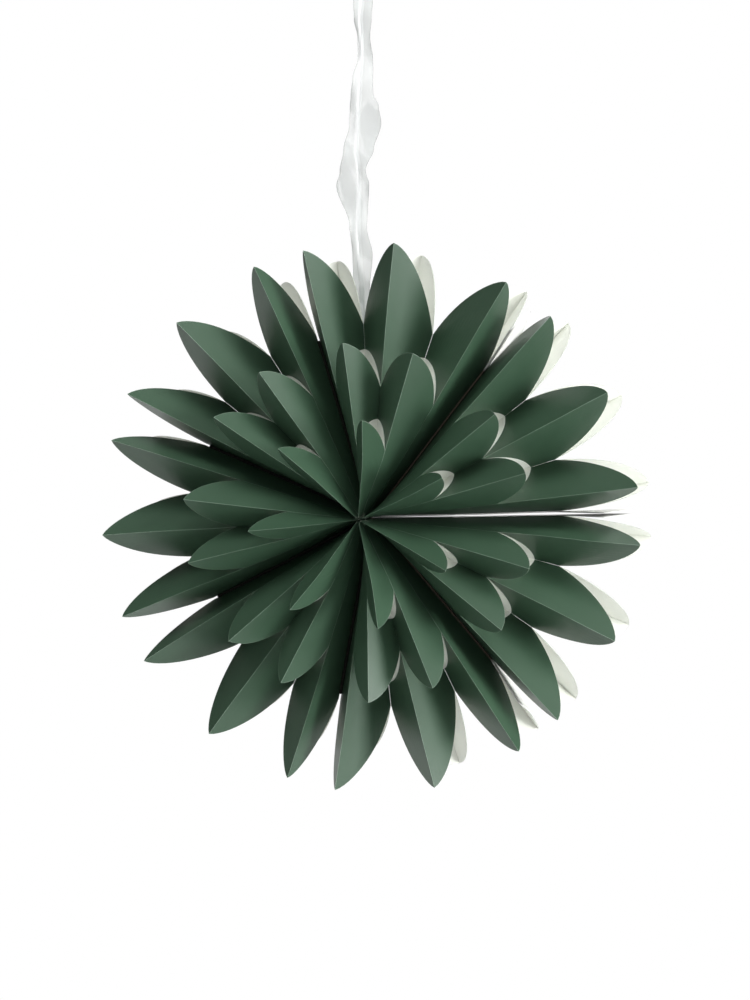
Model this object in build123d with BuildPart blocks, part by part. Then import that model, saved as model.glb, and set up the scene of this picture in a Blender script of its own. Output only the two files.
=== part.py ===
from build123d import *
import os
from math import cos, radians, sin, tan

os.makedirs("parts", exist_ok=True)

# A folded paper star: seven sectors of glued paper tubes fanned round one axis, on a ribbon.
# Millimetres, +Z up, origin at the middle of the star, which faces -Y.
# A sector is drawn in its own frame: out along +X, round the star along Y, front along +Z.

# The fan
sector_count = 7
seam_opening = 0.8  # degrees left open between the two end boards

# Paper and board
paper = 0.3
glue_gap = 0.05  # from each glued face to the plane it shares with its neighbour
board = 0.4
board_gap = 0.05  # between a board and the plane of the sector beside it
pressed_length = 14.0  # the tubes are pressed flat and solid this far out
fold_start = 0.8  # where the folds begin, measured from the sector's own apex

# Where the folds lie round a sector, in degrees from its middle
large_pitch = 20.4  # between the ridges of neighbouring large petals
large_glue_angle = 10.2  # where the middle large petal meets the outer ones
mid_ridge_angle = 10.9

# Large petals. A depth is measured forward from the star's middle plane.
large_radius = 150.0
large_tip_depth = 31.5
large_hub_depth = 9.75
large_notch_radius = 107.4
large_bulge = 5.0  # how far a cut edge curves out from the line between tip and notch

# Mid petals
mid_radius = 96.0
mid_tip_depth = 45.0
mid_hub_depth = 16.5
mid_notch_radius = 73.4
mid_bulge = 4.6

# Small petals
small_radius = 55.5
small_tip_depth = 54.0
small_hub_depth = 22.5
small_notch_radius = 40.5
small_bulge = 4.0

# Boards between the sectors: a narrow strip along the valley floor. At the seam, and one sector
# away from it on either side, the board ends in a pointed leaf.
board_start = 2.5
board_strip_half = 1.5
board_neck_radius = 104.0
board_shoulder_radius = 131.0
board_shoulder_half = 15.0
board_tip_radius = 145.0
board_bulge = 1.0

# Ribbon, gathered into a round strand that rises out of a mid petal on the back of the star,
# with a knot and a loop at its top. Heights are measured from the star's middle.
ribbon_strand = 8.0
ribbon_clearance = 0.1
ribbon_start = 82.5
ribbon_top = 300.0
knot_height = 12.0
knot_width = 16.0
loop_strand = 3.0
loop_leg_spacing = 6.0
loop_throat_height = 9.0
loop_shoulder_height = 28.0
loop_shoulder_width = 26.0
loop_crown_width = 18.0
loop_height = 42.0
loop_radii = (10.0, 12.0, 8.0)  # at the throat, the shoulder and the crown

# Worked out from the sizes above
sector_pitch = (360.0 - seam_opening) / sector_count
half_sector = sector_pitch / 2
sector_shift = (board + board_gap) / sin(radians(half_sector))
straight_up = 90.0
seam_angle = straight_up - large_glue_angle - 1.5 * sector_pitch - seam_opening / 2
reach = 1.3 * large_radius


def fold(angle, hub_depth, tip_depth, tip_radius):
    """A straight fold that leaves the sector's axis at hub_depth and passes its tip."""
    return angle, hub_depth, (tip_depth - hub_depth) / tip_radius


def large_ridge(angle):
    return fold(angle, large_hub_depth, large_tip_depth, large_radius)


def mid_ridge(angle):
    return fold(angle, mid_hub_depth, mid_tip_depth, mid_radius)


def small_ridge(angle):
    return fold(angle, small_hub_depth, small_tip_depth, small_radius)


def level_fold(angle):
    return angle, 0.0, 0.0


def behind(front_fold):
    """The same fold on the far side of the star's middle plane."""
    angle, hub_depth, slope = front_fold
    return angle, -hub_depth, -slope


def fold_depth(some_fold, radius):
    angle, hub_depth, slope = some_fold
    return hub_depth + slope * radius


def section_corners(x, folds):
    """Where a tube's folds pierce the plane at x, as (across, forward)."""
    corners = []
    for some_fold in folds:
        angle = radians(some_fold[0])
        corners.append((x * tan(angle), fold_depth(some_fold, x / cos(angle))))
    return corners


def folded_tube(folds, ridge_angle, front_tip, notch, rear_tip, bulge):
    """A four-sided paper tube whose mouth is cut to two pointed petals.

    The tips and the notch are (radius, depth) along the tube's own ridge.
    """
    along = (cos(radians(ridge_angle)), sin(radians(ridge_angle)), 0)
    across = (sin(radians(ridge_angle)), -cos(radians(ridge_angle)), 0)
    with BuildPart() as tube:
        for x in (fold_start, pressed_length, reach):
            with BuildSketch(Plane.YZ.offset(x)):
                with BuildLine():
                    Polyline(*section_corners(x, folds), close=True)
                make_face()
                offset(amount=-glue_gap, kind=Kind.INTERSECTION)
        loft(ruled=True)
        for x in (pressed_length, reach):
            with BuildSketch(Plane.YZ.offset(x)):
                with BuildLine():
                    Polyline(*section_corners(x, folds), close=True)
                make_face()
                offset(amount=-glue_gap - paper, kind=Kind.INTERSECTION)
        loft(ruled=True, mode=Mode.SUBTRACT)
        with BuildSketch(Plane(origin=(0, 0, 0), x_dir=along, z_dir=across)):
            with BuildLine():
                SagittaArc(front_tip, notch, bulge)
                SagittaArc(notch, rear_tip, bulge)
                Polyline(
                    rear_tip,
                    (rear_tip[0], -reach),
                    (2 * reach, -reach),
                    (2 * reach, reach),
                    (front_tip[0], reach),
                    front_tip,
                )
            make_face()
        extrude(amount=large_radius, both=True, mode=Mode.SUBTRACT)
    return tube.part


def large_tube(right, ridge_angle, left):
    ridge = large_ridge(ridge_angle)
    folds = [level_fold(right), ridge, level_fold(left), behind(ridge)]
    front_tip = (large_radius, large_tip_depth)
    rear_tip = (large_radius, -large_tip_depth)
    notch = (large_notch_radius * cos(radians(large_glue_angle)), 0.0)
    return folded_tube(folds, ridge_angle, front_tip, notch, rear_tip, large_bulge)


def mid_tube(side):
    """A mid petal on one side of the sector's middle, 1 or -1."""
    folds = [
        large_ridge(0),
        mid_ridge(side * mid_ridge_angle),
        large_ridge(side * large_pitch),
        level_fold(side * large_glue_angle),
    ]
    front_tip = (mid_radius, mid_tip_depth)
    rear_tip = (mid_radius, 0.0)
    notch_depth = fold_depth(large_ridge(0), mid_notch_radius)
    notch = (mid_notch_radius * cos(radians(mid_ridge_angle)), notch_depth)
    return folded_tube(folds, side * mid_ridge_angle, front_tip, notch, rear_tip, mid_bulge)


def small_tube():
    folds = [
        mid_ridge(-mid_ridge_angle),
        small_ridge(0),
        mid_ridge(mid_ridge_angle),
        large_ridge(0),
    ]
    front_tip = (small_radius, small_tip_depth)
    rear_tip = (small_radius, fold_depth(large_ridge(0), small_radius))
    notch_depth = fold_depth(mid_ridge(0), small_notch_radius)
    notch = (small_notch_radius * cos(radians(mid_ridge_angle)), notch_depth)
    return folded_tube(folds, 0, front_tip, notch, rear_tip, small_bulge)


def star_frame(angle, shift=0.0):
    """The frame of a sector or board that points out at this angle, seen from the front."""
    out = (cos(radians(angle)), 0, sin(radians(angle)))
    origin = (shift * out[0], 0, shift * out[2])
    return Location(Plane(origin=origin, x_dir=out, z_dir=(0, -1, 0)))


def board_strip(low, high, with_leaf):
    """A strip in a sector's boundary plane, between two heights off that plane."""
    with BuildPart() as strip:
        with BuildSketch(Plane.XZ.offset(-high)):
            with Locations(((board_start + board_neck_radius) / 2, 0)):
                Rectangle(board_neck_radius - board_start, 2 * board_strip_half)
            if with_leaf:
                tip = (board_tip_radius, 0)
                upper_shoulder = (board_shoulder_radius, board_shoulder_half)
                lower_shoulder = (board_shoulder_radius, -board_shoulder_half)
                with BuildLine():
                    Polyline(
                        lower_shoulder,
                        (board_neck_radius, -board_strip_half),
                        (board_neck_radius, board_strip_half),
                        upper_shoulder,
                    )
                    SagittaArc(upper_shoulder, tip, board_bulge)
                    SagittaArc(tip, lower_shoulder, board_bulge)
                make_face()
        extrude(amount=high - low)
    return strip.part


# The seven sectors
large_parts = [
    large_tube(-half_sector, -large_pitch, -large_glue_angle),
    large_tube(-large_glue_angle, 0, large_glue_angle),
    large_tube(large_glue_angle, large_pitch, half_sector),
]
mid_parts = [mid_tube(-1), mid_tube(1)]
small_part = small_tube()

for number in range(1, sector_count + 1):
    middle_angle = seam_angle + seam_opening / 2 + (number - 0.5) * sector_pitch
    frame = star_frame(middle_angle, sector_shift)

    for place, large_part in enumerate(large_parts, start=1):
        with BuildPart() as large_petal:
            with Locations(frame):
                add(large_part)
        large_petal.part.label = f"sector_{number}_large_{place}"
        export_step(large_petal.part, f"parts/{large_petal.part.label}.step")

    for place, mid_part in enumerate(mid_parts, start=1):
        with BuildPart() as mid_petal:
            with Locations(frame):
                add(mid_part)
        mid_petal.part.label = f"sector_{number}_mid_{place}"
        export_step(mid_petal.part, f"parts/{mid_petal.part.label}.step")

    with BuildPart() as small_petal:
        with Locations(frame):
            add(small_part)
    small_petal.part.label = f"sector_{number}_small"
    export_step(small_petal.part, f"parts/{small_petal.part.label}.step")

    # The back of the star repeats the two mid petals and the small one
    with BuildPart() as back_petals:
        with Locations(frame):
            for front_part in (*mid_parts, small_part):
                add(front_part.mirror(Plane.XY))
    back_petals.part.label = f"sector_{number}_back"
    export_step(back_petals.part, f"parts/{back_petals.part.label}.step")

# Boards: two glued back to back between neighbouring sectors, one on each side of the seam
for number in range(1, sector_count):
    with BuildPart() as divider:
        with Locations(star_frame(seam_angle + seam_opening / 2 + number * sector_pitch)):
            add(board_strip(-board, board, number in (1, sector_count - 1)))
    divider.part.label = f"divider_{number}"
    export_step(divider.part, f"parts/{divider.part.label}.step")

with BuildPart() as end_board_upper:
    with Locations(star_frame(seam_angle + seam_opening / 2)):
        add(board_strip(0, board, True))
end_board_upper.part.label = "end_board_upper"
export_step(end_board_upper.part, "parts/end_board_upper.step")

with BuildPart() as end_board_lower:
    with Locations(star_frame(seam_angle - seam_opening / 2)):
        add(board_strip(-board, 0, True))
end_board_lower.part.label = "end_board_lower"
export_step(end_board_lower.part, "parts/end_board_lower.step")

# Ribbon: its foot is glued into the side fold of the mid petal that points straight up
def fold_at_height(some_fold, height):
    """Where a fold on the back of the second sector passes this height, as (x, y)."""
    lean = radians(some_fold[0] - large_glue_angle)
    risen = height - sector_shift * cos(radians(large_glue_angle))
    across = sector_shift * sin(radians(large_glue_angle)) - risen * tan(lean)
    return Vector(across, fold_depth(some_fold, risen / cos(lean)))


side_fold = fold_at_height(large_ridge(large_pitch), ribbon_start)
inner_wall = (fold_at_height(level_fold(large_glue_angle), ribbon_start) - side_fold).normalized()
outer_wall = (fold_at_height(mid_ridge(mid_ridge_angle), ribbon_start) - side_fold).normalized()
half_fold = radians(inner_wall.get_angle(outer_wall) / 2)
from_fold = (ribbon_strand / 2 + ribbon_clearance + paper + glue_gap) / sin(half_fold)
ribbon_center = side_fold + (inner_wall + outer_wall).normalized() * from_fold
ribbon_x = ribbon_center.X
ribbon_y = ribbon_center.Y

with BuildPart() as ribbon:
    with BuildSketch(Plane.XY.offset(ribbon_start)):
        with Locations((ribbon_x, ribbon_y)):
            Circle(ribbon_strand / 2)
    extrude(amount=ribbon_top - ribbon_start)
ribbon.part.label = "ribbon"
export_step(ribbon.part, "parts/ribbon.step")

with BuildPart() as ribbon_knot:
    with BuildSketch(Plane.XZ):
        with BuildLine():
            Polyline(
                (ribbon_strand / 2, ribbon_top),
                (0, ribbon_top),
                (0, ribbon_top + knot_height),
                (ribbon_strand / 2, ribbon_top + knot_height),
            )
            ThreePointArc(
                (ribbon_strand / 2, ribbon_top + knot_height),
                (knot_width / 2, ribbon_top + knot_height / 2),
                (ribbon_strand / 2, ribbon_top),
            )
        make_face()
    revolve(axis=Axis.Z)
ribbon_knot.part.position = (ribbon_x, ribbon_y, 0)
ribbon_knot.part.label = "ribbon_knot"
export_step(ribbon_knot.part, "parts/ribbon_knot.step")

loop_base = ribbon_top + knot_height
with BuildPart() as ribbon_loop:
    with BuildLine(Plane.XZ.offset(-ribbon_y)) as loop_path:
        FilletPolyline(
            (ribbon_x - loop_leg_spacing / 2, loop_base),
            (ribbon_x - loop_leg_spacing / 2, loop_base + loop_throat_height),
            (ribbon_x - loop_shoulder_width / 2, loop_base + loop_shoulder_height),
            (ribbon_x - loop_crown_width / 2, loop_base + loop_height),
            (ribbon_x + loop_crown_width / 2, loop_base + loop_height),
            (ribbon_x + loop_shoulder_width / 2, loop_base + loop_shoulder_height),
            (ribbon_x + loop_leg_spacing / 2, loop_base + loop_throat_height),
            (ribbon_x + loop_leg_spacing / 2, loop_base),
            radius=[*loop_radii, *reversed(loop_radii)],
        )
    with BuildSketch(Plane.XY.offset(loop_base)):
        with Locations((ribbon_x - loop_leg_spacing / 2, ribbon_y)):
            Circle(loop_strand / 2)
    sweep(path=loop_path.line)
ribbon_loop.part.label = "ribbon_loop"
export_step(ribbon_loop.part, "parts/ribbon_loop.step")
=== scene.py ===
import math

import bpy
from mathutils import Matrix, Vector


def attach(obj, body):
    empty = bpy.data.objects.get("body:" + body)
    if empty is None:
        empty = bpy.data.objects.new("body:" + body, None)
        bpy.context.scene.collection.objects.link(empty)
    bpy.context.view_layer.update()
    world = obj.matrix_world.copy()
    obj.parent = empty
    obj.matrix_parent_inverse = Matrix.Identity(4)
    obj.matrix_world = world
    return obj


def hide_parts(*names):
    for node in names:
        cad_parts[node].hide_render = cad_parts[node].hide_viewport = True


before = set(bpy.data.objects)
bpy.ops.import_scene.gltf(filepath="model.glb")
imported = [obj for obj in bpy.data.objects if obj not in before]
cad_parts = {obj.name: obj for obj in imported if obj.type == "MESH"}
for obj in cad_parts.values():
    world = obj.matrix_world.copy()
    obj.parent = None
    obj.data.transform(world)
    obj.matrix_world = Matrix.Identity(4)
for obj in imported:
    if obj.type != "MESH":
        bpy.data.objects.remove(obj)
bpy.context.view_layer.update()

# Metres. The star's axis is Y, its front faces -Y, and the ribbon rises along +Z.
MM = 0.001

# The photograph's frame, and where the middle of the star stands in it
IMAGE_WIDTH = 750
IMAGE_HEIGHT = 1000
STAR_PIXEL = (372.6, 517.3)
FOCAL_PIXELS = 1488.0
SENSOR_HEIGHT = 36.0
CAMERA_DISTANCE = 0.842
CAMERA_DIRECTION = Vector((0.230, -0.969, 0.094)).normalized()

# The fan of petals
SECTOR_COUNT = 7
SEAM_OPENING = 0.8
STRAIGHT_UP = 90.0
LARGE_PITCH = 20.4
LARGE_GLUE_ANGLE = 10.2
MID_RIDGE_ANGLE = 10.9
SECTOR_PITCH = (360.0 - SEAM_OPENING) / SECTOR_COUNT
HALF_SECTOR = SECTOR_PITCH / 2
SEAM_ANGLE = STRAIGHT_UP - LARGE_GLUE_ANGLE - 1.5 * SECTOR_PITCH - SEAM_OPENING / 2
PAPER = 0.3 * MM
GLUE_GAP = 0.05 * MM
BOARD_THICK = 0.4 * MM
STRIP_THICK = 0.7 * MM
SECTOR_SHIFT = (BOARD_THICK + GLUE_GAP) / math.sin(math.radians(HALF_SECTOR))
HUB_RADIUS = 0.3 * MM

# Ribbon route, as in the solid: its foot in the mid petal's tube, and its knot
RIBBON_X = -9.05 * MM
RIBBON_Y = 21.67 * MM
RIBBON_START = 82.5 * MM
RIBBON_TOP = 300.0 * MM
KNOT_HEIGHT = 12.0 * MM

# How far hand folding has turned the petals from the even fan, in degrees, at the seam and then
# at every half sector round to the seam again
LEANS = (0.0, -0.5, -1.5, 3.0, 2.0, 2.5, 1.0, 1.5, -0.5, 0.5, 0.0, 1.0, 0.5, 0.5, 0.0)
LEAN_RANGE = 4.0
# How far the petals behind the middle plane have sunk, right and down, at this depth. Deeper ones
# sink a little more, up to this many times as much, and the ease is how softly that is reached.
REAR_SAG = (3.5 * MM, -1.8 * MM)
REAR_TIP_DEPTH = 31.5 * MM
REAR_MOST = 1.08
REAR_EASE = 0.7
# Between these shares of the way round from the seam, the petals behind are pressed flatter, drawn
# in and leaned to the left, so that the front ones hide them. It sets in over 1 / 40 of the way.
PRESSED_FROM = 0.285
PRESSED_TO = 0.775
PRESSED_ONSET = 40.0
PRESSED_FLAT = 0.35
PRESSED_IN = 0.06
PRESSED_LEAN = -12.0 * MM
# The folds of the front meet a little to one side of the axis: right and up, within this reach
# and in full from this depth on
HUB_PULL = (-3.2 * MM, 0.5 * MM)
HUB_PULL_REACH = 34.0 * MM
HUB_PULL_DEPTH = 20.0 * MM
# How far the cut edges wander, and how closely spaced the wandering is
UNEVENNESS = 0.8 * MM
WANDER_GAIN = 4.0
WANDER_SCALE = 14.0
WANDER_SEED = 3.0


class Value:
    """A socket of a node tree. Arithmetic on it adds Math nodes to the tree."""

    def __init__(self, net, socket):
        self.net = net
        self.socket = socket

    def math(self, operation, *others):
        inputs = dict(enumerate((self, *others)))
        return self.net.node("ShaderNodeMath", {"operation": operation}, inputs)

    def __add__(self, other):
        return self.math("ADD", other)

    def __sub__(self, other):
        return self.math("SUBTRACT", other)

    def __mul__(self, other):
        return self.math("MULTIPLY", other)

    def __truediv__(self, other):
        return self.math("DIVIDE", other)

    def __pow__(self, other):
        return self.math("POWER", other)

    def __gt__(self, other):
        return self.math("GREATER_THAN", other)

    def __rsub__(self, other):
        return self.net.node("ShaderNodeMath", {"operation": "SUBTRACT"}, {0: other, 1: self})

    __radd__ = __add__

    def clamped(self):
        return self.net.node(
            "ShaderNodeMath", {"operation": "ADD", "use_clamp": True}, {0: self, 1: 0.0}
        )


class Net:
    """Adds nodes to one shader or geometry tree."""

    def __init__(self, tree):
        self.tree = tree

    def node(self, kind, settings=None, inputs=None, output=0):
        """A node with its settings, then its inputs, by name or number. Returns one output."""
        node = self.tree.nodes.new(kind)
        for name, setting in (settings or {}).items():
            if name == "curve":
                line = node.mapping.curves[0]
                while len(line.points) < len(setting):
                    line.points.new(0.5, 0.5)
                for point, place in zip(line.points, setting):
                    point.location = place
                node.mapping.update()
            else:
                setattr(node, name, setting)
        for name, value in (inputs or {}).items():
            self.plug(node.inputs[name], value)
        return Value(self, node.outputs[output])

    def plug(self, socket, value):
        if isinstance(value, Value):
            self.tree.links.new(value.socket, socket)
        elif isinstance(value, (list, tuple)) and value and isinstance(value[0], Value):
            for item in value:
                self.tree.links.new(item.socket, socket)
        else:
            socket.default_value = value

    def mix(self, factor, first, second):
        """A colour between two colours."""
        return self.node(
            "ShaderNodeMix", {"data_type": "RGBA"}, {0: factor, 6: first, 7: second}, output=2
        )

    def between(self, factor, first, second):
        """A vector between two vectors."""
        return self.node(
            "ShaderNodeMix", {"data_type": "VECTOR"}, {0: factor, 4: first, 5: second}, output=1
        )

    def vector(self, x, y, z):
        return self.node("ShaderNodeCombineXYZ", {}, {0: x, 1: y, 2: z})

    def parts(self, whole, kind="ShaderNodeSeparateXYZ"):
        """The three parts of a vector or a colour."""
        split = self.tree.nodes.new(kind)
        self.plug(split.inputs[0], whole)
        return [Value(self, output) for output in split.outputs]

    def vector_math(self, operation, *vectors, scale=None, output="Vector"):
        inputs = dict(enumerate(vectors))
        if scale is not None:
            inputs["Scale"] = scale
        return self.node("ShaderNodeVectorMath", {"operation": operation}, inputs, output)

    def noise(self, place, scale, detail, **more):
        """Cloudy variation, about 0 to 1."""
        inputs = {"Vector": place, "Scale": scale, "Detail": detail, **more}
        return self.node("ShaderNodeTexNoise", {}, inputs)

    def attribute(self, name):
        """A mark that the mesh carries, as a shader reads it."""
        return self.node("ShaderNodeAttribute", {"attribute_name": name}, output="Fac")


# Camera
camera_data = bpy.data.cameras.new("camera")
camera_data.sensor_fit = "VERTICAL"
camera_data.sensor_height = SENSOR_HEIGHT
camera_data.lens = FOCAL_PIXELS / IMAGE_HEIGHT * camera_data.sensor_height
camera_data.shift_x = (IMAGE_WIDTH / 2 - STAR_PIXEL[0]) / IMAGE_HEIGHT
camera_data.shift_y = (STAR_PIXEL[1] - IMAGE_HEIGHT / 2) / IMAGE_HEIGHT
camera_data.clip_start = 10 * MM
camera = bpy.data.objects.new("camera", camera_data)
bpy.context.scene.collection.objects.link(camera)
camera.location = CAMERA_DIRECTION * CAMERA_DISTANCE
camera.rotation_euler = CAMERA_DIRECTION.to_track_quat("Z", "Y").to_euler()
bpy.context.scene.camera = camera


# Materials
def new_material(name):
    """A material, its net and its Principled shader."""
    material = bpy.data.materials.new(name)
    material.use_nodes = True
    shader = material.node_tree.nodes["Principled BSDF"]
    return material, Net(material.node_tree), shader


FIBRE_SCALE = 2600.0
MOTTLE_SCALE = 160.0
GRAIN_HEIGHT = 0.05 * MM


def paper_grain(net, position):
    """Fine fibres and broad mottling of uncoated paper, each about 0 to 1."""
    fibres = net.noise(position, FIBRE_SCALE, 3.0, Roughness=0.65)
    mottle = net.noise(position, MOTTLE_SCALE, 4.0, Roughness=0.6)
    return fibres, mottle


def finish_paper(net, shader, tone, roughness, sheen, relief, strength):
    """Sets a paper's colour, roughness, sheen and the bumps of its fibres."""
    net.plug(shader.inputs["Base Color"], tone)
    net.plug(shader.inputs["Roughness"], roughness)
    shader.inputs["Specular IOR Level"].default_value = sheen
    inputs = {"Strength": strength, "Distance": GRAIN_HEIGHT, "Height": relief}
    net.plug(shader.inputs["Normal"], net.node("ShaderNodeBump", {}, inputs))


def green_paper():
    """The dark green outside of the petals, with a painted highlight along its folds, and paler
    along its cut edges.
    """
    crease_least = 0.22 * MM
    crease_more = 0.25 * MM
    trim_width = 0.35 * MM
    material, net, shader = new_material("green_paper")
    fibres, mottle = paper_grain(net, net.node("ShaderNodeTexCoord", output="Object"))
    tone = net.mix(mottle, (0.037, 0.080, 0.046, 1), (0.043, 0.090, 0.053, 1))
    tone = net.mix(fibres * 0.25, tone, (0.054, 0.106, 0.066, 1))
    # Painted highlight: the outside is lightened along its ridge folds, where a rounded fold
    # catches the light. It also pales along its cut edges.
    crease_width = crease_least + mottle * crease_more
    crease = (1.0 - net.attribute("from_fold") / crease_width).clamped()
    trim = (1.0 - net.attribute("from_mouth") / trim_width).clamped()
    fold_highlight_and_trim = (crease * (0.35 + fibres * 0.6) + trim * 0.45).clamped()
    tone = net.mix(fold_highlight_and_trim, tone, (0.30, 0.40, 0.32, 1))
    roughness = 0.33 + fibres * 0.12 + fold_highlight_and_trim * 0.15
    finish_paper(net, shader, tone, roughness, 0.5, fibres + mottle * 0.5, 0.25)
    return material


def white_paper(name, light, shade):
    """White paper, such as the inside of the petals: soft fibres and faint mottling."""
    material, net, shader = new_material(name)
    fibres, mottle = paper_grain(net, net.node("ShaderNodeTexCoord", output="Object"))
    tone = net.mix(fibres * 0.5 + mottle * 0.5, shade, light)
    roughness = 0.62 + fibres * 0.15
    finish_paper(net, shader, tone, roughness, 0.3, fibres + mottle * 0.5, 0.2)
    return material


def shade_painted_board(name, dark, pale, white_from):
    """White board with painted shade: dark along the valley floor, where it stands in the valley's
    shade, and white beyond this radius.
    """
    fade = 3.0 * MM
    material, net, shader = new_material(name)
    position = net.node("ShaderNodeTexCoord", output="Object")
    fibres, mottle = paper_grain(net, position)
    flat = net.vector_math("MULTIPLY", position, (1, 0, 1))
    radius = net.vector_math("LENGTH", flat, output="Value")
    # Painted shade: up to the given radius the board takes the dark colours, for the shade it lies
    # in down the valley
    leaf = ((radius - white_from) / fade + mottle * 0.3).clamped()
    painted_shade = net.mix(fibres, dark, pale)
    white = net.mix(mottle, (0.79, 0.79, 0.77, 1), (0.86, 0.86, 0.84, 1))
    finish_paper(net, shader, net.mix(leaf, painted_shade, white), 0.7 + fibres * 0.15, 0.0, fibres, 0.2)
    return material


def organza(name, least_cover):
    """Sheer woven cloth: greyer where folds double it, darker at its hems, dense in its middle."""
    thread = 0.22 * MM
    middle_half = 1.6 * MM
    hem_width = 0.45 * MM
    material, net, shader = new_material(name)
    across = net.attribute("across")
    along = net.attribute("along")
    # Long slanting panels, each of its own shade, with a cloudy one over all
    place = net.vector(across * 60.0 + along * 16.0, 0.0, along * 26.0)
    panel = net.node(
        "ShaderNodeTexVoronoi",
        {"feature": "SMOOTH_F1"},
        {"Vector": place, "Scale": 2.2, "Smoothness": 0.06, "Randomness": 1.0},
        output="Color",
    )
    panel_shade = net.parts(panel, "ShaderNodeSeparateColor")[0]
    doubled = ((panel_shade - 0.42) * 7.0).clamped()
    cloud = net.noise(place, 1.3, 2.0)
    warp = (across * (2 * math.pi / thread)).math("SINE")
    weft = (along * (2 * math.pi / thread)).math("SINE")
    weave = (warp.math("MAXIMUM", weft)) * 0.5 + 0.5
    middle = (1.3 - across.math("ABSOLUTE") / middle_half).clamped()
    hem = (1.3 - net.attribute("from_hem") / hem_width).clamped()
    shade = (doubled * 0.75 + cloud * 0.4 - 0.1).clamped()
    tone = net.mix(shade, (0.76, 0.79, 0.78, 1), (0.62, 0.65, 0.64, 1))
    tone = net.mix(hem * 0.8, tone, (0.44, 0.46, 0.45, 1))
    tone = net.mix(middle, tone, (0.95, 0.97, 0.97, 1))
    net.plug(shader.inputs["Base Color"], tone)
    shader.inputs["Roughness"].default_value = 0.75
    shader.inputs["Specular IOR Level"].default_value = 0.2
    cover = least_cover + shade * 0.22 + weave * 0.08 + hem * 0.25 + middle * 0.4
    net.plug(shader.inputs["Alpha"], cover.clamped())
    return material


green = green_paper()
inside = white_paper("white_paper_inside", (0.88, 0.90, 0.85, 1), (0.81, 0.83, 0.76, 1))
cut_edge = white_paper("paper_cut_edge", (0.62, 0.66, 0.58, 1), (0.42, 0.48, 0.41, 1))
# The dividers' brown, the strips' near-black and the seam boards' grey are painted shade, for their
# parts down in the valleys' shade
divider_card = shade_painted_board(
    "divider_board", (0.075, 0.062, 0.045, 1), (0.13, 0.11, 0.085, 1), 104.0 * MM
)
strip_card = shade_painted_board(
    "strip_board", (0.012, 0.013, 0.011, 1), (0.022, 0.022, 0.018, 1), 104.0 * MM
)
seam_card = shade_painted_board(
    "seam_board", (0.22, 0.23, 0.22, 1), (0.34, 0.35, 0.34, 1), 46.0 * MM
)
sheer = organza("organza", 0.44)
gathered = organza("organza_gathered", 0.78)


def new_piece(name, vertices, faces, material, smooth=True):
    mesh = bpy.data.meshes.new(name)
    mesh.from_pydata([tuple(v) for v in vertices], [], faces)
    mesh.materials.append(material)
    mesh.polygons.foreach_set("use_smooth", [smooth] * len(mesh.polygons))
    mesh.update()
    piece = bpy.data.objects.new(name, mesh)
    bpy.context.scene.collection.objects.link(piece)
    return piece


def tube_faces(rings, around, turned=False):
    """The faces of a closed tube of points, ring by ring, with a face over each end."""
    faces = []
    for ring in range(rings - 1):
        low, high = ring * around, (ring + 1) * around
        for spoke in range(around):
            after = (spoke + 1) % around
            faces.append((low + spoke, low + after, high + after, high + spoke))
    faces.append(tuple(reversed(range(around))))
    faces.append(tuple(range((rings - 1) * around, rings * around)))
    if turned:
        faces = [tuple(reversed(face)) for face in faces]
    return faces


def store_marks(piece, marks):
    """Puts the ribbon's marks on its points, for the cloth's weave and hems."""
    for name, values in zip(("across", "from_hem", "along"), zip(*marks)):
        attribute = piece.data.attributes.new(name, "FLOAT", "POINT")
        attribute.data.foreach_set("value", values)


def curve_points(name, points, steps):
    """Points along the smooth NURBS line that has these control points."""
    curve = bpy.data.curves.new(name, "CURVE")
    curve.dimensions = "3D"
    curve.resolution_u = steps
    spline = curve.splines.new("NURBS")
    spline.points.add(len(points) - 1)
    for point, place in zip(spline.points, points):
        point.co = (*place, 1.0)
    spline.order_u = 3
    spline.use_endpoint_u = True
    holder = bpy.data.objects.new(name, curve)
    bpy.context.scene.collection.objects.link(holder)
    bpy.context.view_layer.update()
    mesh = bpy.data.meshes.new_from_object(holder)
    path = [v.co.copy() for v in mesh.vertices]
    bpy.data.objects.remove(holder)
    bpy.data.curves.remove(curve)
    bpy.data.meshes.remove(mesh)
    return path


def smooth_between(table, at):
    """The columns of a table of rows, eased between the rows on either side of its first column."""
    for low, high in zip(table, table[1:]):
        if at <= high[0]:
            break
    share = min(max((at - low[0]) / (high[0] - low[0]), 0.0), 1.0)
    share = share * share * (3 - 2 * share)
    return [a + (b - a) * share for a, b in zip(low[1:], high[1:])]


# Ribbon: a gathered middle with two crumpled wings. Millimetres: the height, how far the gathered
# middle wanders from the straight line, and how far the cloth spreads left and right of it.
RIBBON_SHAPE = (
    (82.5, 0.0, 3.0, 3.0),
    (110.0, -1.0, 4.5, 4.0),
    (128.0, -2.5, 5.0, 4.5),
    (148.0, -4.0, 4.0, 8.0),
    (165.0, -5.0, 4.5, 5.5),
    (188.0, -4.5, 13.0, 6.5),
    (196.0, -4.5, 11.0, 4.5),
    (208.0, -6.0, 7.0, 10.5),
    (222.0, -5.5, 4.5, 14.5),
    (232.0, -4.5, 5.0, 12.0),
    (238.0, -4.0, 5.0, 8.5),
    (248.0, -3.5, 4.0, 7.5),
    (258.0, -3.0, 2.0, 7.0),
    (270.0, -3.0, 2.0, 5.5),
    (280.0, -3.5, 3.5, 7.0),
    (291.0, -2.5, 4.5, 6.5),
    (300.0, 0.0, 3.0, 3.0),
)
RIBBON_COLUMNS = 44
RIBBON_STEPS = 110
PLEAT_PITCH = 2.0 * MM
PLEAT_REACH = 3.52 * MM
PLEAT_DEPTH = 0.04 * MM
# Waves that crumple the wings: how deep, how closely spaced up the ribbon, how they slant toward
# the hems, and where they start
CRUMPLES = ((0.7 * MM, 0.15, 1.2, 0.0), (0.3 * MM, 0.31, -2.0, 1.0))


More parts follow.
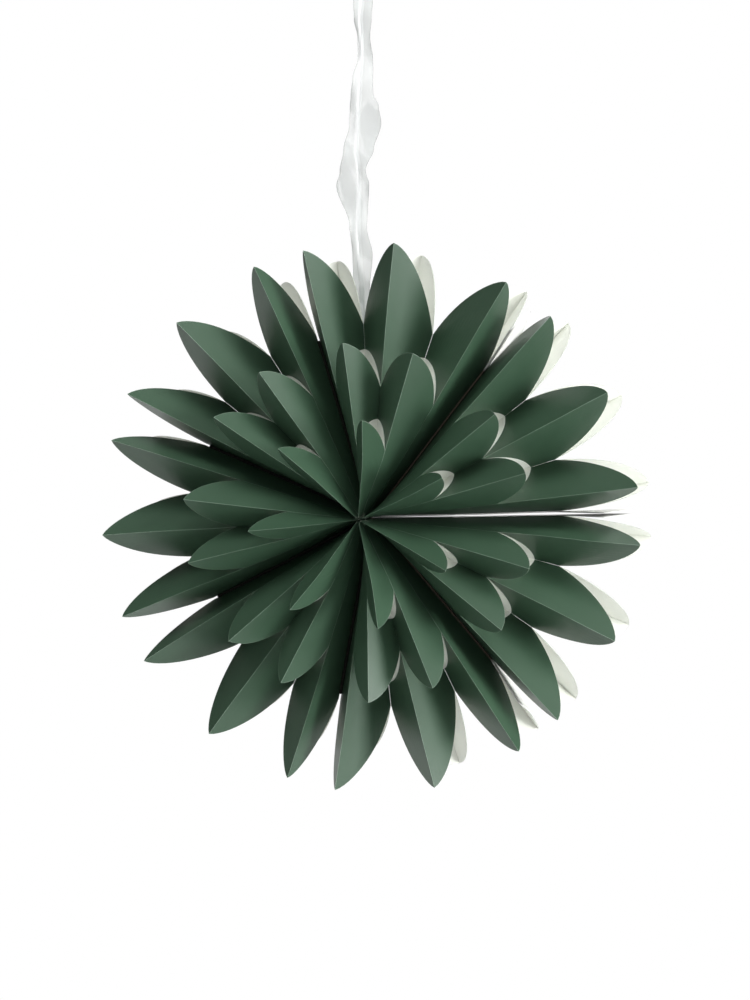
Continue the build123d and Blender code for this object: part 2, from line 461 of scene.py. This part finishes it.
def make_ribbon():
    middle_height = (RIBBON_START + RIBBON_TOP) / 2
    route = [(RIBBON_X, RIBBON_Y, z) for z in (RIBBON_START, middle_height, RIBBON_TOP)]
    path = curve_points("ribbon_route", route, RIBBON_STEPS)
    vertices = []
    marks = []
    for place in path:
        height = place.z / MM
        wander, left, right = smooth_between(RIBBON_SHAPE, height)
        for column in range(RIBBON_COLUMNS + 1):
            share = 2 * column / RIBBON_COLUMNS - 1
            wing = (right if share > 0 else left) * MM
            across = share * wing
            out = abs(share)
            pleat = PLEAT_DEPTH * math.cos(2 * math.pi * across / PLEAT_PITCH)
            pleat *= max(0.0, 1 - abs(across) / PLEAT_REACH)
            crumple = 0.0
            for deep, rise, slant, start in CRUMPLES:
                crumple += deep * out * math.sin(height * rise + slant * share + start)
            vertices.append(place + Vector((wander * MM + across, pleat + crumple, 0)))
            marks.append((across, (1 - out) * wing, place.z))
    faces = []
    stride = RIBBON_COLUMNS + 1
    for row in range(len(path) - 1):
        for column in range(RIBBON_COLUMNS):
            corner = row * stride + column
            faces.append((corner, corner + 1, corner + stride + 1, corner + stride))
    piece = new_piece("ribbon_cloth", vertices, faces, sheer)
    store_marks(piece, marks)
    return piece, path


ribbon, ribbon_path = make_ribbon()

# The knot: a drawn-up bundle with one turn of ribbon round it, slanting
KNOT_WIDTH = 16.0 * MM
KNOT_NECK = 7.0 * MM
KNOT_PLUMP = 0.8
KNOT_CLOSING = 8
KNOT_AROUND = 72
KNOT_ROWS = 40
TURN_SLANT = 2.6 * MM
TURN_START = 0.6
TURN_HALF = 2.9 * MM
TURN_EDGE = 0.8 * MM
TURN_SWELL = 0.95 * MM
TURN_FOLDS = 0.20 * MM
TURN_FOLD_STEP = 1 / 2.6 * MM
GATHERS = 0.32 * MM
GATHER_COUNT = 9
GATHER_SLANT = 0.66 / MM


def make_knot():
    vertices = []
    marks = []
    for row in range(KNOT_ROWS + 1):
        share = row / KNOT_ROWS
        rise = (share - 0.5) * KNOT_HEIGHT
        plump = math.sqrt(max(0.0, 1 - (2 * share - 1) ** 2))
        body = (KNOT_NECK + (KNOT_PLUMP * KNOT_WIDTH - KNOT_NECK) * plump) / 2
        closed = min(1.0, KNOT_CLOSING * share, KNOT_CLOSING * (1 - share)) ** 0.5
        for spoke in range(KNOT_AROUND):
            angle = 2 * math.pi * spoke / KNOT_AROUND
            from_turn = rise - TURN_SLANT * math.cos(angle + TURN_START)
            off_turn = abs(from_turn)
            on_turn = min(1.0, max(0.0, (TURN_HALF - off_turn) / TURN_EDGE))
            gathers = GATHERS * math.sin(GATHER_COUNT * angle + GATHER_SLANT * rise)
            folds = TURN_FOLDS * math.sin(from_turn / TURN_FOLD_STEP)
            swell = on_turn * (TURN_SWELL + folds) + (1 - on_turn) * gathers
            reach = (body + swell) * closed
            x = RIBBON_X + reach * math.cos(angle)
            y = RIBBON_Y + reach * math.sin(angle)
            vertices.append((x, y, RIBBON_TOP + share * KNOT_HEIGHT))
            hem = abs(off_turn - TURN_HALF)
            marks.append((3.0 * MM + off_turn, hem, 0.6 * angle * body + 0.5 * rise))
    faces = tube_faces(KNOT_ROWS + 1, KNOT_AROUND)
    piece = new_piece("ribbon_tied_knot", vertices, faces, gathered)
    store_marks(piece, marks)
    return piece


# The hanging loop: the same ribbon gathered to a soft flat strand. Its route, right of and above
# the knot's top, in millimetres.
LOOP_ROUTE = (
    (-3.0, -2.0),
    (-3.0, 9.0),
    (-13.0, 28.0),
    (-9.0, 42.0),
    (9.0, 42.0),
    (13.0, 28.0),
    (3.0, 9.0),
    (3.0, -2.0),
)
LOOP_STEPS = 24
LOOP_WIDTH = 4.6 * MM
LOOP_THICK = 1.7 * MM
LOOP_AROUND = 28
LOOP_GATHERS = 0.16 * MM
LOOP_GATHER_STEP = 0.2 * MM
LOOP_TWIST = 0.5
TWIST_LENGTH = 13.0 * MM
LOOP_PINCH = 0.10
PINCH_LENGTH = 4.0 * MM


def make_loop():
    knot_top = RIBBON_TOP + KNOT_HEIGHT
    route = [(RIBBON_X + x * MM, RIBBON_Y, knot_top + z * MM) for x, z in LOOP_ROUTE]
    path = curve_points("loop_route", route, LOOP_STEPS)
    vertices = []
    marks = []
    travelled = 0.0
    for step, place in enumerate(path):
        before = path[max(step - 1, 0)]
        after = path[min(step + 1, len(path) - 1)]
        travelled += (place - before).length
        ahead = (after - before).normalized()
        outward = ahead.cross(Vector((0, 1, 0)))
        twist = LOOP_TWIST * math.sin(travelled / TWIST_LENGTH)
        for spoke in range(LOOP_AROUND):
            angle = 2 * math.pi * spoke / LOOP_AROUND
            flat = LOOP_WIDTH / 2 * math.cos(angle)
            thick = LOOP_THICK / 2 * math.sin(angle)
            thick += LOOP_GATHERS * math.sin(angle) * math.cos(flat / LOOP_GATHER_STEP)
            flat *= 1 + LOOP_PINCH * math.sin(travelled / PINCH_LENGTH)
            side = math.cos(twist) * flat - math.sin(twist) * thick
            front = math.sin(twist) * flat + math.cos(twist) * thick
            vertices.append(place + Vector((0, 1, 0)) * side + outward * front)
            marks.append((flat + 1.0 * MM, LOOP_WIDTH / 2 - abs(flat), travelled))
    faces = tube_faces(len(path), LOOP_AROUND, turned=True)
    piece = new_piece("ribbon_hanging_loop", vertices, faces, gathered)
    store_marks(piece, marks)
    return piece


knot = make_knot()
loop = make_loop()


# Petals: each is a folded tube of four walls. A fold is (angle, depth at the hub, slope), and its
# slope comes from how deep it stands at its tip.
LARGE_TIP = 150.0 * MM
MID_TIP = 96.0 * MM
SMALL_TIP = 55.5 * MM


def fold(angle, hub_depth, tip_depth, tip_radius):
    return angle, hub_depth, (tip_depth - hub_depth) / tip_radius


def large_ridge(angle):
    return fold(angle, 9.75 * MM, 31.5 * MM, LARGE_TIP)


def mid_ridge(angle):
    return fold(angle, 16.5 * MM, 45.0 * MM, MID_TIP)


def small_ridge(angle):
    return fold(angle, 22.5 * MM, 54.0 * MM, SMALL_TIP)


def level_fold(angle):
    return angle, 0.0, 0.0


def behind(front_fold):
    angle, hub_depth, slope = front_fold
    return angle, -hub_depth, -slope


SOCKET_KINDS = {"Geometry": "NodeSocketGeometry", "Count": "NodeSocketInt"}


def geometry_tree(name, input_names):
    """A tree with these inputs: the tree, its net, the inputs' values and their sockets."""
    tree = bpy.data.node_groups.new(name, "GeometryNodeTree")
    sockets = {}
    for word in input_names:
        kind = SOCKET_KINDS.get(word, "NodeSocketFloat")
        sockets[word] = tree.interface.new_socket(name=word, in_out="INPUT", socket_type=kind)
    tree.interface.new_socket(name="Made", in_out="OUTPUT", socket_type="NodeSocketGeometry")
    net = Net(tree)
    given = tree.nodes.new("NodeGroupInput")
    value = {word: Value(net, given.outputs[word]) for word in input_names}
    return tree, net, value, sockets


def end_tree(net, made):
    """The geometry that the tree gives out."""
    net.plug(net.tree.nodes.new("NodeGroupOutput").inputs["Made"], made)


FOLD_WORDS = ("Angle", "Hub Depth", "Slope", "End Radius")
WALL_INPUTS = (
    *[f"Side {word}" for word in FOLD_WORDS],
    *[f"Tip {word}" for word in FOLD_WORDS],
    "Middle Angle",
    "Middle Depth",
    "Middle Slope",
    "Half Width At Hub",
    "Half Width Slope",
    "Hub Radius",
    "Roundness",
    "Paper",
    "Glue Gap",
)
WALL_COLUMNS = 14
OUTER_ROWS = 12
INNER_ROWS = 8
# The inner skin leaves the outer one over this share of the wall's length, counted from the hub,
# and sinks by no more than this share of the way to the tube's middle
SKIN_PARTS_BY = 0.1
MOST_SUNK = 0.8


def petal_wall_tree():
    """One wall of a petal tube, from its side fold to its tip fold, with both its skins."""
    tree, net, value, _ = geometry_tree("Petal wall", WALL_INPUTS)
    rows = OUTER_ROWS + INNER_ROWS
    grid = net.node(
        "GeometryNodeMeshGrid",
        {},
        {"Size X": 1.0, "Size Y": 1.0, "Vertices X": rows, "Vertices Y": WALL_COLUMNS + 1},
    )
    grid_x, grid_y, _ = net.parts(net.node("GeometryNodeInputPosition"))
    row = (grid_x + 0.5) * (rows - 1)
    toward_tip = (grid_y + 0.5).clamped()

    on_inside = row > OUTER_ROWS - 0.5
    outer_share = (row / (OUTER_ROWS - 1)).clamped()
    inner_share = (1.0 - (row - OUTER_ROWS) / (INNER_ROWS - 1)).clamped()
    share = outer_share * (1.0 - on_inside) + inner_share * on_inside

    rounded = 1.0 - (1.0 - toward_tip) ** value["Roundness"]
    past_side = (value["Tip End Radius"] - value["Side End Radius"]) * rounded
    end_radius = value["Side End Radius"] + past_side
    radius = value["Hub Radius"] + (end_radius - value["Hub Radius"]) * share

    def fold_point(kind, depth_word):
        angle = value[f"{kind} Angle"] * (math.pi / 180)
        depth = value[f"{kind} {depth_word}"] + value[f"{kind} Slope"] * radius
        return net.vector(radius * angle.math("COSINE"), radius * angle.math("SINE"), depth)

    side_point = fold_point("Side", "Hub Depth")
    tip_point = fold_point("Tip", "Hub Depth")
    middle_point = fold_point("Middle", "Depth")
    surface = net.between(toward_tip, side_point, tip_point)
    half_width = value["Half Width At Hub"] + value["Half Width Slope"] * radius
    thickness = value["Paper"] * (share * (1 / SKIN_PARTS_BY)).clamped()
    sunk = value["Glue Gap"] + on_inside * thickness
    inward = (sunk / half_width).math("MINIMUM", MOST_SUNK)
    surface = net.between(inward, surface, middle_point)

    # The marks are worked out on the flat grid, before its points are moved
    wall_width = net.vector_math("DISTANCE", side_point, tip_point, output="Value")
    marks = (
        ("from_fold", (1.0 - toward_tip) * wall_width),
        ("from_mouth", end_radius - radius),
        ("on_inside", on_inside),
    )
    for name, mark in marks:
        grid = net.node(
            "GeometryNodeStoreNamedAttribute",
            {"data_type": "FLOAT", "domain": "POINT"},
            {"Geometry": grid, "Name": name, "Value": mark},
        )
    end_tree(net, net.node("GeometryNodeSetPosition", {}, {"Geometry": grid, "Position": surface}))
    return tree


def section_half_width(folds, radius):
    """Half the width between a tube's opposite walls at this radius."""
    corners = []
    for angle, hub_depth, slope in folds:
        corners.append(Vector((radius * math.sin(math.radians(angle)), hub_depth + slope * radius)))
    area = 0.0
    around = 0.0
    for first, second in zip(corners, corners[1:] + corners[:1]):
        area += (first.x * second.y - second.x * first.y) / 2
        around += (second - first).length
    return 2 * abs(area) / around


SAME_POINT = 0.002 * MM


def petal_tube(net, folds, end_radii, roundness):
    """One tube of four walls, each between a side fold and the front or the rear ridge.

    Folds and their end radii are listed as right side, front ridge, left side and rear ridge.
    Roundness is that of the front walls' mouth, then that of the rear ones'.
    """
    middle = [sum(part) / len(folds) for part in zip(*folds)]
    near, far = 10 * MM, 100 * MM
    width_near = section_half_width(folds, near)
    width_far = section_half_width(folds, far)
    width_slope = (width_far - width_near) / (far - near)
    shared = {
        "Middle Angle": middle[0],
        "Middle Depth": middle[1],
        "Middle Slope": middle[2],
        "Half Width At Hub": width_near - width_slope * near,
        "Half Width Slope": width_slope,
        "Hub Radius": HUB_RADIUS,
        "Paper": PAPER,
        "Glue Gap": GLUE_GAP,
    }
    walls = []
    for side, tip, turned in ((0, 1, False), (2, 1, True), (2, 3, False), (0, 3, True)):
        inputs = dict(shared)
        inputs["Roundness"] = roundness[0] if tip == 1 else roundness[1]
        for kind, index in (("Side", side), ("Tip", tip)):
            for word, number in zip(FOLD_WORDS, (*folds[index], end_radii[index])):
                inputs[f"{kind} {word}"] = number
        wall = net.node("GeometryNodeGroup", {"node_tree": wall_tree}, inputs)
        if turned:
            wall = net.node("GeometryNodeFlipFaces", {}, {"Mesh": wall})
        walls.append(wall)
    joined = net.node("GeometryNodeJoinGeometry", {}, {"Geometry": walls})
    return net.node(
        "GeometryNodeMergeByDistance", {}, {"Geometry": joined, "Distance": SAME_POINT}
    )


def hand_folding_tree():
    """Turns and nudges what stands round the axis, as folding by hand leaves it."""
    tree, net, value, _ = geometry_tree("Hand folding", ("Geometry", "Unevenness", "Seed"))
    place = net.node("GeometryNodeInputPosition")
    across, up, depth = net.parts(place)
    flat = net.vector_math("MULTIPLY", place, (1, 1, 0))
    radius = net.vector_math("LENGTH", flat, output="Value")

    # Each half sector leans by its own amount
    angle = up.math("ARCTAN2", across)
    round_share = (angle / (2 * math.pi) - SEAM_ANGLE / 360).math("FRACT")
    steps = len(LEANS) - 1
    curve = [(i / steps, 0.5 + lean / (2 * LEAN_RANGE)) for i, lean in enumerate(LEANS)]
    lean = net.node("ShaderNodeFloatCurve", {"curve": curve}, {"Value": round_share})
    turn = (lean - 0.5) * math.radians(2 * LEAN_RANGE)
    turned = net.node(
        "ShaderNodeVectorRotate", {"rotation_type": "Z_AXIS"}, {"Vector": place, "Angle": turn}
    )

    # Edges wander, more and more toward the tips
    wander = net.node(
        "ShaderNodeTexNoise",
        {"noise_dimensions": "4D"},
        {"Vector": place, "W": value["Seed"], "Scale": WANDER_SCALE, "Detail": 1.0},
        output="Color",
    )
    wander = net.vector_math("SUBTRACT", wander, (0.5, 0.5, 0.5))
    amount = value["Unevenness"] * WANDER_GAIN * (radius / LARGE_TIP).clamped() ** 1.5
    offset = net.vector_math("SCALE", wander, scale=amount)

    # What stands behind the middle plane has sunk. This is eased toward its most, as a sharp bend
    # would push the inner skin through the outer one.
    behind_middle = (depth / -REAR_TIP_DEPTH).math("SMOOTH_MIN", REAR_MOST, REAR_EASE)
    behind_middle = behind_middle.math("MAXIMUM", 0.0)
    sag = net.vector(behind_middle * REAR_SAG[0], behind_middle * REAR_SAG[1], 0.0)
    offset = net.vector_math("ADD", offset, sag)

    # Part of it is pressed flatter, drawn in and leaned to the left
    pressed = ((round_share - PRESSED_FROM) * PRESSED_ONSET).clamped()
    pressed = pressed * ((PRESSED_TO - round_share) * PRESSED_ONSET).clamped() * behind_middle
    flatter = (-PRESSED_IN, -PRESSED_IN, -PRESSED_FLAT)
    drawn_in = net.vector_math("MULTIPLY_ADD", place, flatter, (PRESSED_LEAN, 0.0, 0.0))
    offset = net.vector_math("ADD", offset, net.vector_math("SCALE", drawn_in, scale=pressed))

    # The front's folds are pulled aside where they meet
    pulled = (1.0 - radius / HUB_PULL_REACH).clamped() * (depth / HUB_PULL_DEPTH).clamped()
    pull = net.vector(pulled * HUB_PULL[0], pulled * HUB_PULL[1], 0.0)
    offset = net.vector_math("ADD", offset, pull)
    moved = {"Geometry": value["Geometry"], "Position": turned, "Offset": offset}
    end_tree(net, net.node("GeometryNodeSetPosition", {}, moved))
    return tree


RING_SIZES = {
    "Count": SECTOR_COUNT,
    "First Angle": SEAM_ANGLE + SEAM_OPENING / 2 + HALF_SECTOR,
    "Pitch": SECTOR_PITCH,
    "Shift": SECTOR_SHIFT,
    "Unevenness": UNEVENNESS,
    "Seed": WANDER_SEED,
}


def ring_tree(name):
    return geometry_tree(name, ("Geometry", *RING_SIZES))


def repeat_round(net, value, made):
    """Copies of this geometry, turned round the axis and then leaned as the hand left them."""
    shift = net.vector(value["Shift"], 0.0, 0.0)
    made = net.node("GeometryNodeTransform", {}, {"Geometry": made, "Translation": shift})
    points = net.node("GeometryNodeMeshLine", {}, {"Count": value["Count"], "Offset": (0, 0, 0)})
    index = net.node("GeometryNodeInputIndex")
    turn = (value["First Angle"] + index * value["Pitch"]) * (math.pi / 180)
    placed = {"Points": points, "Instance": made, "Rotation": net.vector(0.0, 0.0, turn)}
    ring = net.node("GeometryNodeInstanceOnPoints", {}, placed)
    ring = net.node("GeometryNodeRealizeInstances", {}, {"Geometry": ring})
    leaned = {"Geometry": ring, "Unevenness": value["Unevenness"], "Seed": value["Seed"]}
    ring = net.node("GeometryNodeGroup", {"node_tree": folding_tree}, leaned)
    upright = (math.pi / 2, 0, 0)
    return net.node("GeometryNodeTransform", {}, {"Geometry": ring, "Rotation": upright})


def ring_piece(name, tree, sockets, changed, base_mesh, nodes):
    """What a ring's tree makes with these changed sizes, as a plain piece for these nodes."""
    holder = bpy.data.objects.new(name + "_tree", base_mesh or bpy.data.meshes.new(name + "_tree"))
    bpy.context.scene.collection.objects.link(holder)
    modifier = holder.modifiers.new(name, "NODES")
    modifier.node_group = tree
    for word, size in {**RING_SIZES, **changed}.items():
        modifier[sockets[word].identifier] = size
    depsgraph = bpy.context.evaluated_depsgraph_get()
    mesh = bpy.data.meshes.new_from_object(holder.evaluated_get(depsgraph))
    mesh.name = name
    bpy.data.objects.remove(holder)
    piece = bpy.data.objects.new(name, mesh)
    bpy.context.scene.collection.objects.link(piece)
    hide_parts(*nodes)
    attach(piece, "root")


CREASE_ANGLE = math.radians(20)


def petal_ring(name, tubes, nodes):
    """A piece: these tubes of one sector, repeated round the star's axis."""
    tree, net, value, sockets = ring_tree(name)
    made = [petal_tube(net, *tube) for tube in tubes]
    ring = repeat_round(net, value, net.node("GeometryNodeJoinGeometry", {}, {"Geometry": made}))
    creased = net.node("GeometryNodeInputMeshEdgeAngle") > CREASE_ANGLE
    ring = net.node(
        "GeometryNodeSetShadeSmooth",
        {"domain": "EDGE"},
        {"Geometry": ring, "Selection": creased, "Shade Smooth": False},
    )
    ring = net.node("GeometryNodeSetMaterial", {}, {"Geometry": ring, "Material": green})
    skin = net.node(
        "GeometryNodeInputNamedAttribute", {"data_type": "FLOAT"}, {"Name": "on_inside"}
    )
    on_face = net.node(
        "GeometryNodeFieldOnDomain", {"data_type": "FLOAT", "domain": "FACE"}, {0: skin}
    )
    for least, paper in ((0.25, cut_edge), (0.75, inside)):
        covered = {"Geometry": ring, "Selection": on_face > least, "Material": paper}
        ring = net.node("GeometryNodeSetMaterial", {}, covered)
    end_tree(net, ring)
    ring_piece(name, tree, sockets, {}, None, nodes)


wall_tree = petal_wall_tree()
folding_tree = hand_folding_tree()

# Roundness of the mouths, in front and behind, and the radii where the folds end
LARGE_ROUND = (1.6, 2.1)
LARGE_SIDE = 107.4 * MM
LARGE_EDGE = 106.1 * MM
large_tubes = []
for right, ridge_angle, left, right_end, left_end in (
    (-HALF_SECTOR, -LARGE_PITCH, -LARGE_GLUE_ANGLE, LARGE_EDGE, LARGE_SIDE),
    (-LARGE_GLUE_ANGLE, 0.0, LARGE_GLUE_ANGLE, LARGE_SIDE, LARGE_SIDE),
    (LARGE_GLUE_ANGLE, LARGE_PITCH, HALF_SECTOR, LARGE_SIDE, LARGE_EDGE),
):
    ridge = large_ridge(ridge_angle)
    folds = (level_fold(right), ridge, level_fold(left), behind(ridge))
    large_tubes.append((folds, (right_end, LARGE_TIP, left_end, LARGE_TIP), LARGE_ROUND))

MID_ROUND = (2.0, 2.0)
MID_SIDE = 73.4 * MM
MID_REAR_TIP = 93.5 * MM
mid_tubes = []
for side in (-1, 1):
    first, second = sorted((0.0, side * LARGE_PITCH))
    folds = (
        large_ridge(first),
        mid_ridge(side * MID_RIDGE_ANGLE),
        large_ridge(second),
        level_fold(side * LARGE_GLUE_ANGLE),
    )
    mid_tubes.append((folds, (MID_SIDE, MID_TIP, MID_SIDE, MID_REAR_TIP), MID_ROUND))

SMALL_ROUND = (2.0, 2.0)
SMALL_SIDE = 40.5 * MM
small_folds = (
    mid_ridge(-MID_RIDGE_ANGLE),
    small_ridge(0.0),
    mid_ridge(MID_RIDGE_ANGLE),
    large_ridge(0.0),
)
small_tubes = [(small_folds, (SMALL_SIDE, SMALL_TIP, SMALL_SIDE, SMALL_TIP), SMALL_ROUND)]


def turned_back(tube):
    """The same tube on the back of the star."""
    (right, front, left, rear), (right_end, front_end, left_end, rear_end), roundness = tube
    folds = (behind(right), behind(rear), behind(left), behind(front))
    return folds, (right_end, rear_end, left_end, front_end), tuple(reversed(roundness))


def sector_nodes(*words):
    return [f"sector_{number}_{word}" for number in range(1, SECTOR_COUNT + 1) for word in words]


petal_ring("large_petals", large_tubes, sector_nodes("large_1", "large_2", "large_3"))
petal_ring("mid_petals", mid_tubes, sector_nodes("mid_1", "mid_2"))
petal_ring("small_petals", small_tubes, sector_nodes("small"))
back_tubes = [turned_back(tube) for tube in (*mid_tubes, *small_tubes)]
petal_ring("back_petals", back_tubes, sector_nodes("back"))

# Boards between the sectors: a narrow strip along the valley floor. At the seam, and one sector
# away from it on either side, the board ends in a pointed leaf. Outlines are (radius, half depth)
# in millimetres.
STRIP_OUTLINE = ((0.3, 1.5), (104.0, 1.5))
LEAF_OUTLINE = (
    *STRIP_OUTLINE,
    (117.0, 7.8),
    (131.0, 15.0),
    (136.5, 10.1),
    (141.5, 5.0),
    (145.0, 0.15),
)
BOARD_STEP = 2.5
BOARD_ROWS = (-1.0, -0.5, 0.0, 0.5, 1.0)


def board_mesh(name, outline, low, high):
    """One board, standing on edge along X between two heights off its sector's boundary."""
    stations = []
    for start, end in zip(outline, outline[1:]):
        steps = max(1, round((end[0] - start[0]) / BOARD_STEP))
        for step in range(steps):
            share = step / steps
            stations.append([a + (b - a) * share for a, b in zip(start, end)])
    stations.append(list(outline[-1]))
    vertices = []
    for radius, half in stations:
        for row in BOARD_ROWS:
            vertices.append((radius * MM, low, row * half * MM))
        for row in reversed(BOARD_ROWS):
            vertices.append((radius * MM, high, row * half * MM))
    mesh = bpy.data.meshes.new(name)
    mesh.from_pydata(vertices, [], tube_faces(len(stations), 2 * len(BOARD_ROWS), turned=True))
    mesh.update()
    return mesh


def board_ring(name, outline, low, high, first, count, pitch, material, nodes):
    """A piece: this many like boards round the axis, from the first angle on, a pitch apart."""
    tree, net, value, sockets = ring_tree(name)
    ring = repeat_round(net, value, value["Geometry"])
    end_tree(net, net.node("GeometryNodeSetMaterial", {}, {"Geometry": ring, "Material": material}))
    changed = {"Count": count, "First Angle": first, "Pitch": pitch, "Shift": 0.0}
    board = board_mesh(name + "_board", outline, low, high)
    ring_piece(name, tree, sockets, changed, board, nodes)


upper_side = SEAM_ANGLE + SEAM_OPENING / 2
lower_side = SEAM_ANGLE - SEAM_OPENING / 2
last_divider = SECTOR_COUNT - 1
board_ring(
    "leaf_dividers",
    LEAF_OUTLINE,
    low=-BOARD_THICK,
    high=BOARD_THICK,
    first=upper_side + SECTOR_PITCH,
    count=2,
    pitch=(last_divider - 1) * SECTOR_PITCH,
    material=divider_card,
    nodes=["divider_1", f"divider_{last_divider}"],
)
board_ring(
    "strip_dividers",
    STRIP_OUTLINE,
    low=-STRIP_THICK,
    high=STRIP_THICK,
    first=upper_side + 2 * SECTOR_PITCH,
    count=last_divider - 2,
    pitch=SECTOR_PITCH,
    material=strip_card,
    nodes=[f"divider_{number}" for number in range(2, last_divider)],
)
for name, low, high, side_angle, node in (
    ("upper_end_board", 0.0, BOARD_THICK, upper_side, "end_board_upper"),
    ("lower_end_board", -BOARD_THICK, 0.0, lower_side, "end_board_lower"),
):
    board_ring(name, LEAF_OUTLINE, low, high, side_angle, 1, 0.0, seam_card, [node])

# What the ribbon, its knot and its loop stand for
for piece, node_name in ((ribbon, "ribbon"), (knot, "ribbon_knot"), (loop, "ribbon_loop")):
    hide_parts(node_name)
    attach(piece, "root")


# Floor, backdrop and light
WHITE = (1, 1, 1, 1)


def light_path(net):
    """1 for each kind of ray: from the camera, from a reflection and through the cloth."""
    path = net.tree.nodes.new("ShaderNodeLightPath")
    return [
        Value(net, path.outputs[f"Is {kind} Ray"]) for kind in ("Camera", "Glossy", "Transmission")
    ]


def floor_white():
    """Plain pale floor for the light that falls on the star, white where it is looked at."""
    material, net, shader = new_material("floor_white")
    shader.inputs["Base Color"].default_value = (0.8, 0.8, 0.8, 1)
    shader.inputs["Roughness"].default_value = 0.9
    seen, mirrored, passed = light_path(net)
    glow = net.node("ShaderNodeEmission", {}, {"Color": WHITE, "Strength": 1.0})
    lit = Value(net, shader.outputs["BSDF"])
    looked_at = (seen + mirrored + passed).clamped()
    both = net.node("ShaderNodeMixShader", {}, {0: looked_at, 1: lit, 2: glow})
    net.plug(material.node_tree.nodes["Material Output"].inputs["Surface"], both)
    return material


FLOOR_LEVEL = -0.42
FLOOR_HALF = 3.0
floor_corners = [
    (x * FLOOR_HALF, y * FLOOR_HALF, FLOOR_LEVEL) for x, y in ((-1, -1), (1, -1), (1, 1), (-1, 1))
]
floor = new_piece("floor", floor_corners, [(0, 1, 2, 3)], floor_white(), smooth=False)

# Soft round lamps, all facing the star: name, degrees round from its right side (toward its front
# where positive), degrees above it, width in metres and power in watts
LAMP_DISTANCE = 1.6
LAMPS = (
    ("side_light", 20, 0, 0.5, 17.0),
    ("upper_side_light", 20, 25, 0.5, 10.0),
    ("high_right_light", 45, 55, 0.6, 8.0),
    ("high_front_light", 105, 62, 0.7, 7.0),
    ("left_front_light", 150, 30, 0.6, 2.5),
    ("back_light", -105, 25, 0.9, 11.0),
    ("right_back_light", -65, 45, 0.7, 8.0),
)
for name, azimuth, elevation, width, power in LAMPS:
    data = bpy.data.lights.new(name, "AREA")
    data.shape = "DISK"
    data.size = width
    data.energy = power
    around = math.radians(azimuth)
    up = math.radians(elevation)
    level = Vector((math.cos(around), -math.sin(around), 0.0))
    facing = level * math.cos(up) + Vector((0.0, 0.0, math.sin(up)))
    light = bpy.data.objects.new(name, data)
    light.location = facing * LAMP_DISTANCE
    light.rotation_euler = facing.to_track_quat("Z", "Y").to_euler()
    bpy.context.scene.collection.objects.link(light)

# The camera sees white all round. A sheen sees a white backdrop behind the star, which fades in
# as the Y part of a ray's heading grows from BACKDROP_FROM to BACKDROP_FULL, and a dimmer studio
# everywhere else.
WORLD_LIGHT = 0.09
BACKDROP_FROM = 0.8
BACKDROP_FULL = 0.925
world = bpy.data.worlds.new("studio")
bpy.context.scene.world = world
world.use_nodes = True
world.node_tree.nodes.clear()
world_net = Net(world.node_tree)
heading = world_net.parts(world_net.node("ShaderNodeTexCoord", output="Generated"))
backdrop = ((heading[1] - BACKDROP_FROM) / (BACKDROP_FULL - BACKDROP_FROM)).clamped()
seen, mirrored, passed = light_path(world_net)
white = (seen + (mirrored + passed) * backdrop).clamped()
background = world_net.node(
    "ShaderNodeBackground",
    {},
    {"Color": WHITE, "Strength": WORLD_LIGHT + white * (1.0 - WORLD_LIGHT)},
)
surface_out = world.node_tree.nodes.new("ShaderNodeOutputWorld")
world_net.plug(surface_out.inputs["Surface"], background)

bpy.context.scene.view_settings.view_transform = "Standard"
